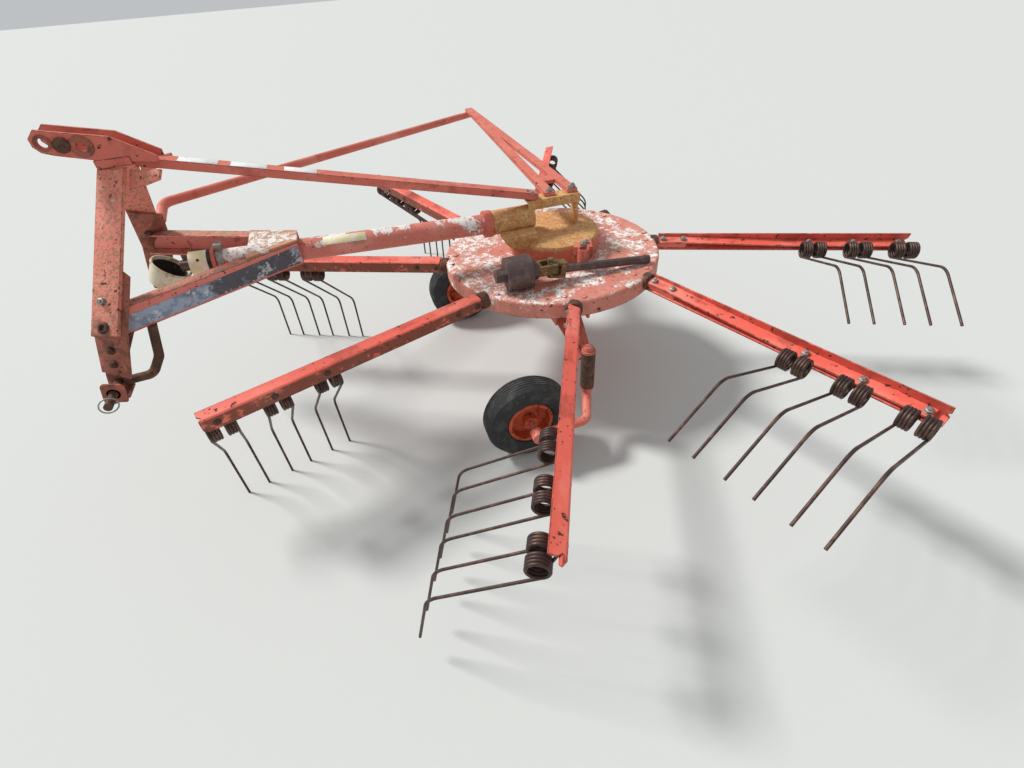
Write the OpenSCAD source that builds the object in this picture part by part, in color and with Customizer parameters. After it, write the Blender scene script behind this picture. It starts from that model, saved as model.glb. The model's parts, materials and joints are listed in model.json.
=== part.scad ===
// Rotary hay rake for a three-point hitch: one rotor, eight arm sockets, seven arms, two castor wheels.
// Millimetres, +X towards the tractor, +Y to the machine's left, +Z up, the floor at Z = 0.

/* [Rotor] */
// Radius of the rotor drum
drum_r = 420; // [400:5:440]
// Height of the drum rim
drum_h = 60; // [56:1:70]
// Sheet thickness of the drum
drum_wall = 5; // [4:0.5:7]
// Diameter of the fixed axle that carries the rotor
axle_d = 70; // [60:1:80]
// Number of arm sockets round the rim
sockets = 8; // [8:1:8]
// Azimuth of the first arm, from straight ahead
first_azimuth = 19.55; // [15:0.05:25]
// Distance of each arm's axis from the rotor axis, on the leading side
arm_offset = 107; // [95:1:115]
// Depth of the arm axis below the drum top
arm_depth = 25; // [24:1:28]

/* [Arms] */
// Distance from the rotor to an arm's outer end, along the arm
arm_tip = 1361; // [1340:1:1380]
// Leg of the arm's angle section
arm_leg = 46; // [42:1:50]
// Thickness of the arm's angle section
arm_wall = 4.5; // [3:0.5:6]
// Diameter of an arm's pivot shaft
stub_d = 34; // [30:1:36]
// Width of the clamp strip
strip_w = 38; // [34:1:40]
// Thickness of the clamp strip
strip_t = 6; // [4:0.5:8]
// Roll of an arm with its tines up
roll_up = 18; // [14:1:22]
// Roll of an arm with its tines down on the floor
roll_down = 84; // [82:1:88]
// Roll of the arm that is on its way up
roll_half = 67; // [60:1:75]

/* [Tines] */
// Wire diameter of the tines
wire_d = 9; // [8:0.5:10]
// Radius of a coil, at the middle of its wire
coil_r = 26.5; // [24:0.5:28]
// Wraps in a coil
coil_wraps = 4; // [3:1:4]
// Distance from the middle of a double tine to the middle of each coil
coil_reach = 24; // [23:0.5:26]
// Distance of the coils below the arm's middle line
coil_drop = 58; // [56:0.5:64]
// Spacing of the double tines along an arm
tine_pitch = 160; // [150:1:170]
// Double tines on an arm
tines_per_arm = 3; // [3:1:3]
// Distance from the arm's end to its last double tine
tine_end = 41; // [38:1:50]
// Length of a tine from its coil to its bend
tine_upper = 320; // [300:1:340]
// Length of a tine from its bend to its tip
tine_lower = 212; // [200:1:225]
// Slope of a tine off the arm's web
tine_slope = 39; // [34:1:44]
// Angle of a tine's bend
tine_bend = 48; // [40:1:56]
// Radius of a tine's bend
tine_bend_r = 70; // [50:1:90]

/* [Gearbox and input tube] */
// Radius of the gearbox dome
dome_r = 175; // [165:1:185]
// Height of the gearbox dome
dome_h = 92; // [85:1:98]
// Height of the pinion housing's axis above the drum top
tube_up = 146; // [140:1:152]
// Rise of the input tube towards its front end, in degrees
tube_tilt = 2.8; // [2:0.1:3.2]
// Outer diameter of the input tube
tube_d = 72; // [68:1:78]
// Wall of the input tube
tube_wall = 5; // [4:0.5:8]
// Front end of the input tube, from the rotor axis
tube_front = 1190; // [1170:5:1210]
// Diameter of the pinion housing
housing_d = 88; // [84:1:96]
// Front end of the pinion housing
housing_front = 250; // [235:5:270]
// Rear end of the pinion housing
housing_rear = 110; // [100:5:120]

/* [Power take-off] */
// Diameter of the splined stub shaft
pto_d = 34.9; // [34.9:0.1:34.9]
// Length of the stub shaft ahead of the tube
pto_l = 90; // [80:1:100]
// Radius of the shield's rim
shield_r = 62; // [58:1:66]
// Length of the shield ahead of the tube
shield_l = 150; // [140:1:160]
// Wall of the shield
shield_wall = 3; // [2.5:0.5:4]

/* [Drawbar and mast] */
// Depth of the drawbar channels
beam_h = 74; // [66:1:80]
// Width of the drawbar channels
beam_w = 45; // [40:1:50]
// Wall of the drawbar channels
beam_wall = 6; // [5:0.5:8]
// Rear end of the drawbar channels
beam_rear = 908; // [890:1:920]
// Distance of the mast's knees ahead of the rotor axis
knee_x = 1430; // [1420:5:1440]
// Distance of the mast's knees from the middle
knee_y = 330; // [322:1:336]
// Height of the mast's top above the drum top
mast_up = 533; // [520:1:545]
// Width of the mast's flat bars
mast_w = 80; // [70:1:90]
// Thickness of the mast's flat bars
mast_t = 12; // [10:0.5:15]
// Distance of the lower hitch pins ahead of the rotor axis
hitch_x = 1475; // [1465:5:1490]
// Distance of the lower hitch brackets from the middle
hitch_y = 341.5; // [335:0.5:345]
// Diameter of the lower hitch pins, category 1
hitch_pin_d = 22; // [22:1:22]
// Length of a lower hitch pin outside its bracket
hitch_pin_l = 75; // [70:1:85]
// Diameter of the upper hitch holes
toplink_d = 25; // [25:0.5:25]
// Gap between the upper hitch plates
toplink_gap = 55; // [50:1:60]
// Spacing of the upper hitch holes
toplink_pitch = 41; // [40:0.5:44]

/* [Guard] */
// Diameter of the guard tube
guard_d = 34; // [30:1:38]
// Distance of the guard's corner from the middle, on the right
guard_y = 1447; // [1435:1:1455]
// Distance of the guard's corner behind the rotor axis
guard_x = 66; // [50:1:80]

/* [Castors] */
// Diameter of a wheel over its tyre
tyre_d = 320; // [310:1:330]
// Width of a tyre
tyre_w = 105; // [95:1:115]
// Diameter of the rim's bead seat
rim_d = 152; // [145:1:160]
// Distance of a castor's swivel ahead of the rotor axis
swivel_x = 58; // [50:1:70]
// Distance of a castor's swivel from the middle
swivel_y = 500; // [490:1:510]
// Distance from the swivel to the wheel's axle
trail = 232; // [220:1:240]
// Diameter of the bent castor leg
leg_d = 33; // [30:1:36]
// Diameter of the castor sleeve
sleeve_d = 50; // [46:1:54]
// Height of the castor sleeve
sleeve_h = 150; // [140:1:160]
// Diameter of the wheel axle
wheel_axle_d = 20; // [18:1:22]

/* [Clearances] */
// Radial clearance of a shaft in its bearing
run_gap = 0.05; // [0.02:0.01:0.1]
// Gap between faces that slide past each other
face_gap = 0.3; // [0.3:0.1:0.5]
// Gap between the drum and what stands still above and below it
drum_gap = 6; // [5:0.5:7]

/* [Placement] */
// Distance of the rotor axis behind the middle of the machine
rotor_back = 125; // [110:1:140]
// Distance of the rotor axis to the left of the middle of the machine
rotor_left = 17; // [10:1:25]

/* [Hidden] */
$fn = 48;

red = "#c9604f";
bright_red = "#d9523c";
rust = "#7a4a35";
steel = "#8a8680";
cream = "#d8d0b8";
rubber = "#2b2b2c";

// Heights, all from the floor: the lowered tines stand on it and carry the arms' axes
web_face = -14;
loop_z = web_face + wire_d / 2;
coil_z = loop_z + coil_r;
tine_start = [-coil_drop - coil_r * sin(tine_slope), coil_z - coil_r * cos(tine_slope)];
tine_knee = tine_start + tine_upper * [-cos(tine_slope), sin(tine_slope)];
tine_tip = tine_knee + tine_lower * [-cos(tine_slope - tine_bend), sin(tine_slope - tine_bend)];
arm_z = -(tine_tip[0] * sin(roll_down) + tine_tip[1] * cos(roll_down));
drum_top = arm_z + arm_depth;
drum_floor = drum_top - drum_h;
tube_z = drum_top + tube_up;
wheel_z = tyre_d / 2;
tube_l = (tube_front - housing_front) / cos(tube_tilt);
tube_seat = -56;

// Arms present: socket number and roll; socket 4 is empty
ARMS = [[0, roll_down], [1, roll_half], [2, roll_up], [3, roll_up],
  [5, roll_down], [6, roll_down], [7, roll_down]];
// The one double tine with a prong missing: arm, tine from the inside, prong
BROKEN = [3, 2, 1];
arm_root = drum_r + 8;
stub_in = 300;
stub_flat = 110;
boss_d = 56;
boss_l = 60;
tine_first = arm_tip - tine_end - (tines_per_arm - 1) * tine_pitch;
beam_z = drum_top + 186;
mast_z = drum_top + mast_up;
knee_z = drum_top + 172;
hitch_z = drum_top + 28;
sleeve_z = drum_top - 305;
bracket_z = drum_top + 212;
beam_start = [beam_rear, tube_d / 2 + 10, beam_z];
beam_end = [knee_x - 4, knee_y - 18, beam_z];
beam_turn = atan2(beam_end[1] - beam_start[1], beam_end[0] - beam_start[0]);
head_x = 1258;
head_l = 90;
head_plate = 10;
head_half = toplink_gap / 2 + head_plate;
block_half = head_half + 2;
head_boss = 38;
hole_x = 1355;
hole_z = mast_z + 49;
hole_rise = 9.7;
mast_top = [head_x + head_l / 2, head_half - 3.5, mast_z];
mast_knee = [knee_x, knee_y, knee_z];
mast_foot = [hitch_x, hitch_y, hitch_z + 34];
rim_half = tyre_w / 2 - 12;
rim_sheet = 4;
guard_corner = [-guard_x, -guard_y, bracket_z - guard_d / 2];
guard_bend = [1368, -405, drum_top + 278];
guard_start = [1368, -242, drum_top + 242];
clutch_d = 118;
clutch_gap = 12;
clutch_at = [262, dome_r + clutch_d / 2 + clutch_gap];
clutch_to = clutch_at + [-529, 22];
joint_at = 110;
joint_l = 108;
joint_tilt = 9;
clutch_turn = atan2(clutch_to[1] - clutch_at[1], clutch_to[0] - clutch_at[0]);
bend_swell = 0.5;
seam_turn = 37;
bend_seat = 2.5;

module at_rotor() {
  translate([-rotor_back, rotor_left, 0]) children();
}

// Turns what is drawn up +Z so that it runs from p to q
module along(p, q) {
  d = q - p;
  translate(p) rotate([0, acos(d[2] / norm(d)), atan2(d[1], d[0])]) children();
}

module rod(p, q, d) {
  along(p, q) rotate([0, 0, seam_turn]) cylinder(d = d, h = norm(q - p));
}

function unit(v) = v / norm(v);

// One bend of a round bar at point b, a little thicker than the bar that seats in it
module elbow(a, b, c, r, d) {
  u = unit(b - a);
  v = unit(c - b);
  turn = acos(u * v);
  w = unit(v - (u * v) * u);
  m = b - u * r * tan(turn / 2) + w * r;
  z = cross(-w, u);
  multmatrix([[-w[0], u[0], z[0], m[0]], [-w[1], u[1], z[1], m[1]],
    [-w[2], u[2], z[2], m[2]], [0, 0, 0, 1]])
    rotate_extrude(angle = turn) translate([r, 0]) circle(d = d + bend_swell);
}

// Length that a bend takes off the straight bars on each side
function trim(a, b, c, r) = r * tan(acos(unit(b - a) * unit(c - b)) / 2);

// A round bar through points, with the same radius in each bend
module bar(points, r, d) {
  n = len(points) - 1;
  for (i = [0 : n - 1]) {
    p = points[i];
    q = points[i + 1];
    from = i == 0 ? 0 : trim(points[i - 1], p, q, r) - bend_seat;
    upto = i == n - 1 ? 0 : trim(p, q, points[i + 2], r) - bend_seat;
    rod(p + unit(q - p) * from, q - unit(q - p) * upto, d);
    if (i < n - 1) elbow(p, q, points[i + 2], r, d);
  }
}

// Left pieces are drawn on +Y; the right ones are mirrored
module right() {
  mirror([0, 1, 0]) children();
}

// Gearbox dome: a flat-topped bell on a round flange
module dome() {
  translate([0, 0, drum_top + drum_gap]) rotate_extrude($fn = 96)
    polygon([[0, 0], [dome_r + 22, 0], [dome_r + 22, 7], [dome_r, 7], [dome_r, dome_h - 48],
      [dome_r - 14, dome_h - 22], [dome_r - 60, dome_h - drum_gap], [0, dome_h - drum_gap]]);
}

module gearbox_dome() {
  at_rotor() color(rust) dome();
}

module housing_bar() {
  translate([-housing_rear, 0, tube_z]) rotate([0, 90, 0])
    cylinder(d = housing_d, h = housing_front + housing_rear);
}

// Pinion housing: the round sleeve that lies on the dome and takes the input tube
module pinion_housing() {
  saddle_w = housing_d * 0.62;
  at_rotor() color(rust) difference() {
    union() {
      housing_bar();
      translate([-housing_rear, -saddle_w / 2, drum_top + dome_h])
        cube([housing_rear + dome_r * 0.6, saddle_w, tube_up - dome_h]);
    }
    at_tube(tube_seat) cylinder(d = tube_d, h = 6 - tube_seat);
  }
}

// Puts what is drawn along +Z on the rising input tube, at a distance ahead of the housing
module at_tube(ahead) {
  translate([housing_front, 0, tube_z]) rotate([0, 90 - tube_tilt, 0]) translate([0, 0, ahead]) children();
}

// Input tube, with the bearing plate that carries the stub shaft at its front end
module input_tube() {
  plate = 16;
  length = tube_l - tube_seat;
  inner = tube_d - 2 * tube_wall;
  at_rotor() color(red) at_tube(tube_seat) difference() {
    cylinder(d = tube_d, h = length, $fn = 64);
    translate([0, 0, tube_wall]) cylinder(d = inner, h = length - tube_wall - plate - 30);
    translate([0, 0, length - 30]) cylinder(d = inner, h = 31);
    translate([0, 0, length - plate - 31]) cylinder(d = pto_d + 2 * run_gap, h = plate + 2);
  }
}

// Bracket on the housing that holds the strut and the guard's stays
module top_bracket() {
  length = 205;
  half = 30;
  web = 8;
  at_rotor() color(rust) difference() {
    translate([2 - housing_rear, -half, tube_z]) difference() {
      cube([length, 2 * half, bracket_z - tube_z]);
      translate([-1, -1, -1]) cube([length + 2, 2 * half - web + 1, bracket_z - tube_z - web + 1]);
    }
    housing_bar();
  }
}

// Clamp bracket on the dome with the tube socket for the swath curtain's arm
module curtain_socket() {
  socket_d = 42;
  bore_d = 30;
  at_rotor() color(red) difference() {
    translate([-62, dome_r - 12, drum_top + 52]) rotate([0, 0, -20]) difference() {
      union() {
        translate([-34, -18, 0]) cube([68, 62, 30]);
        translate([0, 52, -24]) cylinder(d = socket_d, h = 54);
      }
      translate([0, 52, -25]) cylinder(d = bore_d, h = 56);
    }
    dome();
  }
}

// Puts what is drawn along +X on the rear end of the left drawbar channel
module at_beam() {
  translate(beam_start) rotate([0, 0, beam_turn]) children();
}

// One drawbar channel, its web outwards, from the input tube to the mast's lower bar
module drawbar() {
  length = norm(beam_end - beam_start) + 40;
  difference() {
    at_beam() translate([0, -beam_w, -beam_h / 2]) difference() {
      cube([length, beam_w, beam_h]);
      translate([-1, -1, beam_wall]) cube([length + 2, beam_w - beam_wall + 1, beam_h - 2 * beam_wall]);
    }
    at_tube(0) cylinder(d = tube_d, h = tube_l);
    at_upper_bar() translate([mast_t / 2 - 200, -200, -200]) cube([200, 400, 900]);
    at_lower_bar() translate([mast_t / 2 - 200, -200, -200]) cube([200, 400, 600]);
  }
}

module drawbar_left() {
  at_rotor() color(red) drawbar();
}

module drawbar_right() {
  at_rotor() color(red) right() drawbar();
}

// Plate over the place where the drawbar channels meet the tube
module gusset_plate() {
  reach = 155;
  half = 116;
  at_rotor() color(red) translate([0, 0, beam_z + beam_h / 2]) linear_extrude(8)
    polygon([[beam_rear, -tube_d / 2 - 6], [beam_rear, tube_d / 2 + 6],
      [beam_rear + reach, half], [beam_rear + reach, -half]]);
}

module at_upper_bar() {
  along(mast_top, mast_knee) children();
}

module at_lower_bar() {
  along(mast_knee - [0, 0, 4], mast_foot) children();
}

// One leg of the mast: a flat bar down to the knee, then the lower bar to the hitch foot
module mast_leg() {
  above = 18;
  below = 10;
  difference() {
    union() {
      at_upper_bar() translate([-mast_t / 2, -mast_w / 2, -above - 6])
        cube([mast_t, mast_w, norm(mast_knee - mast_top) + above + 6]);
      at_lower_bar() translate([-mast_t / 2, -mast_w / 2 + 4, -above])
        cube([mast_t, mast_w - 8, norm(mast_foot - mast_knee) + above + below]);
    }
    translate([head_x - 50, -block_half, mast_z - 60]) cube([head_l + 100, 2 * block_half, 120]);
    translate([hitch_x - 100, hitch_y - 100, mast_foot[2] - 100]) cube([200, 200, 100]);
  }
}

module mast_leg_left() {
  at_rotor() color(red) mast_leg();
}

module mast_leg_right() {
  at_rotor() color(red) right() mast_leg();
}

// Upper hitch: two plates with three bossed holes, on a cross block at the mast's top
module toplink_head() {
  side = [[1192, -16], [1330, 8], [1425, 35], [1452, 46], [1464, 62],
    [1464, 82], [1444, 101], [1285, 64], [1192, 2]];
  at_rotor() color(red) difference() {
    union() {
      for (y = [-toplink_gap / 2, head_half]) translate([0, y, mast_z]) rotate([90, 0, 0])
        linear_extrude(head_plate) polygon(side);
      at_holes() cylinder(d = head_boss, h = 2 * head_half + 6, center = true);
      translate([head_x, -block_half, mast_z - 12]) cube([head_l, 2 * block_half, 22]);
    }
    translate([1150, -toplink_gap / 2, mast_z + 8]) cube([350, toplink_gap, 110]);
    at_holes() cylinder(d = toplink_d, h = toplink_gap + 60, center = true);
  }
}

// Puts what is drawn along Z in each upper hitch hole
module at_holes(which = [0 : 2]) {
  for (i = which) translate([hole_x + i * toplink_pitch, 0, hole_z + i * hole_rise]) rotate([90, 0, 0])
    children();
}

module toplink_pin() {
  half = head_half + 3;
  end = 14;
  at_rotor() color(steel) at_holes([1]) {
    translate([0, 0, -half]) cylinder(d = toplink_d - 0.4, h = 2 * half + end);
    translate([0, 0, -half - 8]) cylinder(d = 38, h = 8);
  }
}

// Foot of the mast: a folded bracket with the lower hitch pin
module hitch_foot() {
  wall = 10;
  box = 70;
  translate([hitch_x, hitch_y, hitch_z]) {
    difference() {
      translate([-box / 2, -box / 2, -34]) cube([box, box, 68]);
      translate([-box / 2 - 1, -box / 2 + wall, -34 - 1]) cube([box + 2, box - 2 * wall, 69 - wall]);
    }
    translate([0, -box / 2, -4]) rotate([-90, 0, 0]) difference() {
      union() {
        cylinder(d = hitch_pin_d, h = box + hitch_pin_l);
        cylinder(d = 40, h = box + 8);
      }
      translate([-20, 0, box + hitch_pin_l - 14]) rotate([0, 90, 0]) cylinder(d = 11, h = 40);
    }
  }
}

module hitch_foot_left() {
  at_rotor() color(rust) hitch_foot();
}

module hitch_foot_right() {
  at_rotor() color(rust) right() hitch_foot();
}

// Bent bars from the hitch foot back and up to the drawbar channel
module brace(side) {
  d = 26;
  thin = 16;
  top = beam_z - beam_h / 2;
  difference() {
    union() {
      bar([[hitch_x - 14, side * (hitch_y - 13), hitch_z - 6], [1382, side * 326, hitch_z - 4],
        [1352, side * 304, drum_top + 66], [1338, side * 262, top + 14]], 34, d);
      rod([hitch_x - 26, side * (hitch_y + 2), hitch_z + 30], [1384, side * 285, top + 12], thin);
    }
    translate([hitch_x - 35, side * hitch_y - 35, mast_foot[2] - 10]) cube([70, 70, 10]);
    translate([hitch_x - 35, side * (hitch_y - 30) - 5, hitch_z - 34]) cube([70, 10, 60]);
    translate([hitch_x, side * (hitch_y - 36), hitch_z - 4]) rotate([-90 * side, 0, 0])
      cylinder(d = 40, h = 80);
    translate([hitch_x - 220, -hitch_y, top]) cube([220, 2 * hitch_y, 60]);
  }
}

module brace_left() {
  at_rotor() color(rust) brace(1);
}

module brace_right() {
  at_rotor() color(rust) brace(-1);
}

// Strut from the upper hitch down to the bracket on the gearbox: a shallow channel
module top_strut() {
  wide = 50;
  deep = 24;
  wall = 5;
  front = [head_x, 0, mast_z - 8];
  rear = [58, 0, bracket_z + deep / 2 - 3];
  length = norm(front - rear) + 12;
  at_rotor() color(red) difference() {
    along(rear, front) translate([-deep / 2, -wide / 2, 0]) difference() {
      cube([deep, wide, length]);
      translate([wall, wall, -1]) cube([deep, wide - 2 * wall, length + 2]);
    }
    translate([head_x, -100, mast_z - 100]) cube([100, 200, 200]);
    translate([0, -100, bracket_z - 100]) cube([200, 200, 100]);
  }
}

// Guard tube from the right knee of the mast to the guard's corner
module guard_hoop() {
  seat = 70;
  at_rotor() color(red) difference() {
    bar([guard_start, guard_bend, guard_corner], 60, guard_d);
    right() at_upper_bar() translate([-mast_t / 2, -200, 0]) cube([200, 400, 700]);
    translate(guard_corner + [-seat, -seat, guard_d / 2]) cube([2 * seat, 2 * seat, guard_d]);
  }
}

// Two flat stays from the guard's corner to the bracket, with a small web between them
module guard_stays() {
  wide = 40;
  deep = 14;
  apex = [6 - guard_x, -guard_y - 4];
  at_rotor() color(red) translate([0, 0, bracket_z]) linear_extrude(deep) union() {
    for (x = [6, -84]) translate(apex) rotate(atan2(12 - apex[1], x - apex[0]))
      translate([0, -wide / 2]) square([norm([x, 12] - apex), wide]);
    translate([-64, -170]) square([60, 60]);
  }
}

// Plastic shield round the stub shaft: a neck clamped on the tube and a flared mouth
module pto_shield() {
  neck = tube_d / 2;
  long = shield_l + 30;
  at_rotor() color(cream) at_tube(tube_l - 30) rotate_extrude($fn = 64)
    polygon([[neck, 0], [neck + shield_wall, 0], [neck + shield_wall, 58], [shield_r, long],
      [shield_r - shield_wall, long], [neck - 1, 62], [neck - 1, 30], [neck, 30]]);
}

module shield_clamp() {
  band = 18;
  lug = 20;
  outer = tube_d / 2 + shield_wall + 3;
  at_rotor() color(steel) at_tube(tube_l - 26) difference() {
    union() {
      cylinder(r = outer, h = band);
      translate([-outer - lug + 6, -8, 0]) cube([lug, 16, band]);
    }
    translate([0, 0, -1]) cylinder(r = tube_d / 2 + shield_wall, h = band + 2);
    translate([-outer - lug, -1.5, -1]) cube([lug + 12, 3, band + 2]);
  }
}

// Fixed axle through the rotor, from the cross beam up into the gearbox
module rotor_axle() {
  foot = 26;
  at_rotor() color(steel) translate([0, 0, drum_floor - drum_gap - foot]) {
    cylinder(d = axle_d, h = foot + drum_gap + drum_h + drum_gap);
    cylinder(d = axle_d + 90, h = foot);
  }
}

// Beam under the drum with sloping plates down to the castor sleeves
module cross_beam() {
  top = drum_floor - drum_gap - 26;
  deep = 46;
  half = 330;
  wide = 104;
  plate = 10;
  end = [swivel_x, swivel_y - sleeve_d / 2 + 4, sleeve_z + sleeve_h - 40];
  at_rotor() color(red) difference() {
    cross_plates(top, deep, half, wide, plate, end);
    for (side = [-1, 1]) translate([swivel_x, side * swivel_y, sleeve_z - 50])
      cylinder(d = sleeve_d, h = sleeve_h + 100);
  }
}

module cross_plates(top, deep, half, wide, plate, end) {
  union() {
    difference() {
      translate([swivel_x - wide / 2 - 30, -half, top - deep]) cube([wide + 30, 2 * half, deep]);
      translate([swivel_x - wide / 2 - 30 + plate, -half - 1, top - deep - 1])
        cube([wide + 30 - 2 * plate, 2 * half + 2, deep - plate + 1]);
    }
    for (side = [-1, 1]) {
      start = [swivel_x, side * (half - 30), top - deep / 2];
      stop = [end[0], side * end[1], end[2]];
      along(start, stop) translate([-plate / 2, 0, 0]) rotate([90, 0, 90]) linear_extrude(plate)
        polygon([[-wide / 2, 0], [wide / 2, 0],
          [sleeve_d / 2, norm(stop - start)], [-sleeve_d / 2, norm(stop - start)]]);
      along(start, stop) translate([-24, -plate / 2, 0]) cube([48, plate, norm(stop - start)]);
    }
  }
}

// Upright sleeves in which the castor legs swivel, one each side
module castor_sleeves() {
  at_rotor() color(rust) for (side = [-1, 1]) translate([swivel_x, side * swivel_y, sleeve_z])
    difference() {
      cylinder(d = sleeve_d, h = sleeve_h);
      translate([0, 0, -1]) cylinder(d = leg_d + 2 * run_gap, h = sleeve_h + 2);
    }
}

// Half of the drive shaft, left lying on the drum: clutch, joint and profile bar
module on_drum() {
  at_rotor() translate([clutch_at[0], clutch_at[1], drum_top + face_gap]) rotate([0, 0, clutch_turn])
    children();
}

module loose_clutch() {
  nut = 52;
  on_drum() color(rust) translate([0, 0, clutch_d / 2]) rotate([0, 90, 0]) {
    translate([0, 0, -38]) cylinder(d = nut, h = 40, $fn = 6);
    cylinder(d = clutch_d, h = 88);
    translate([0, 0, 88]) cylinder(d = 70, h = 22);
  }
}

// Two forked yokes at right angles with the cross between them
module loose_joint() {
  fork = 34;
  gap = 36;
  on_drum() color(rust) translate([joint_at, 0, clutch_d / 2]) {
    for (side = [-1, 1]) translate([0, side * (gap / 2 + 5) - 5, -fork / 2]) cube([72, 10, fork]);
    translate([8, 0, 0]) cube([16, gap + 20, fork], center = true);
    translate([54, 0, 0]) rotate([90, 0, 0]) cylinder(d = 20, h = gap + 28, center = true);
    translate([54, 0, 0]) cylinder(d = 20, h = gap + 28, center = true);
    rotate([0, joint_tilt, 0]) for (side = [-1, 1]) translate([44, -fork / 2, side * (gap / 2 + 5) - 5])
      cube([joint_l - 44, fork, 10]);
    rotate([0, joint_tilt, 0]) translate([joint_l - 10, 0, 0]) cube([20, fork, gap + 20], center = true);
  }
}

module loose_shaft() {
  length = 336;
  bar_d = 30;
  start_z = clutch_d / 2 - 17;
  on_drum() color(rust) difference() {
    translate([joint_at + joint_l - 8, 0, start_z + 1])
      rotate([0, 90 + asin((start_z - bar_d / 2) / length), 0]) difference() {
        cylinder(d = bar_d, h = length);
        for (turn = [0 : 120 : 240]) rotate([0, 0, turn]) translate([13, -4, -1]) cube([6, 8, length + 2]);
      }
    translate([joint_at, 0, clutch_d / 2]) rotate([0, joint_tilt, 0]) translate([joint_l - 50, -50, -50])
      cube([50, 100, 100]);
  }
}

// Splined stub shaft of the power take-off
module pto_stub() {
  spline = 6;
  length = pto_l + 46;
  at_rotor() color(steel) at_tube(tube_l - 46) difference() {
    union() {
      cylinder(d = pto_d, h = length);
      translate([0, 0, 16 + face_gap]) cylinder(d = pto_d + 16, h = 8);
    }
    for (i = [0 : spline - 1]) rotate([0, 0, i * 360 / spline]) translate([pto_d / 2 - 3, -4, length - 76])
      cube([4, 8, 77]);
  }
}

// Outline of the drum's shell, rounded at its upper edge
module drum_section() {
  round = 12;
  difference() {
    union() {
      translate([axle_d / 2 + run_gap, drum_h - 24]) square([30, 24]);
      translate([axle_d / 2 + run_gap, drum_h - drum_wall])
        square([drum_r - round - axle_d / 2 - run_gap, drum_wall]);
      translate([drum_r - drum_wall, 0]) square([drum_wall, drum_h - round]);
      translate([drum_r - round, drum_h - round]) intersection() {
        circle(r = round);
        square(round);
      }
    }
    translate([drum_r - round, drum_h - round]) intersection() {
      circle(r = round - drum_wall);
      square(round);
    }
  }
}

// Rotor drum: a round shell with a bearing boss behind each arm socket
module rotor_drum() {
  at_rotor() color(red) translate([0, 0, drum_floor]) difference() {
    union() {
      rotate_extrude($fn = 128) drum_section();
      for (i = [0 : sockets - 1]) rotate([0, 0, first_azimuth + i * 360 / sockets])
        translate([drum_r - 28 - boss_l, arm_offset, drum_h - arm_depth]) rotate([0, 90, 0])
          cylinder(d = boss_d - 8, h = boss_l + 8);
    }
    for (i = [0 : sockets - 1]) rotate([0, 0, first_azimuth + i * 360 / sockets])
      translate([stub_in - 20, arm_offset, drum_h - arm_depth]) rotate([0, 90, 0])
        cylinder(d = stub_d + 2 * run_gap, h = drum_r - stub_in + 60);
  }
}

// Floor of the rotor: a thin dish that closes the drum from below, with the lower hub
module rotor_floor() {
  at_rotor() color(red) translate([0, 0, drum_floor]) difference() {
    union() {
      cylinder(r = drum_r - drum_wall, h = 3, $fn = 128);
      cylinder(d = axle_d + 60, h = 20);
    }
    translate([0, 0, -1]) cylinder(d = axle_d + 2 * run_gap, h = 22);
  }
}

// Puts what is drawn along +X on the axis of the arm in socket number i
module at_arm(i) {
  at_rotor() rotate([0, 0, first_azimuth + ARMS[i][0] * 360 / sockets]) translate([0, arm_offset, arm_z])
    rotate([ARMS[i][1], 0, 0]) children();
}

// Angle section of an arm, web below and wall on the leading side, its outer corner rounded
module angle_section() {
  round = 9;
  web = web_face - arm_wall;
  translate([-arm_leg / 2, web]) square([arm_leg - round, arm_wall]);
  translate([arm_leg / 2 - arm_wall, web + round]) square([arm_wall, arm_leg - round]);
  translate([arm_leg / 2 - round, web + round]) difference() {
    intersection() {
      circle(r = round);
      translate([0, -round]) square(round);
    }
    circle(r = round - arm_wall);
  }
}

// An arm: pivot shaft, angle bar with a bevelled end, and the strip that clamps the tines
module arm(i) {
  high = -web_face - 4;
  low = web_face + wire_d;
  flat_end = arm_root + stub_flat;
  slope_end = tine_first - 70;
  strip_end = arm_tip - 26;
  at_arm(i) color(bright_red) {
    difference() {
      translate([arm_root, 0, 0]) rotate([90, 0, 90]) linear_extrude(arm_tip - arm_root) angle_section();
      translate([arm_tip - 10, arm_leg / 2 - 12, web_face + 10]) rotate([0, 45, 0]) cube([60, 24, 60]);
      translate([arm_tip - 12, -arm_leg / 2, web_face - 10]) rotate([0, 0, -45]) cube([40, 40, 20]);
    }
    translate([0, strip_w / 2, 0]) rotate([90, 0, 0]) linear_extrude(strip_w)
      polygon([[arm_root, high], [flat_end, high], [slope_end, low], [strip_end, low],
        [strip_end, low + strip_t], [slope_end, low + strip_t],
        [flat_end, high + strip_t], [arm_root, high + strip_t]]);
    translate([stub_in, 0, 0]) rotate([0, 90, 0]) cylinder(d = stub_d, h = arm_root - stub_in + 10);
    translate([arm_root, -stub_d / 2 + 1, web_face]) cube([stub_flat, stub_d - 2, high - web_face]);
  }
}

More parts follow.
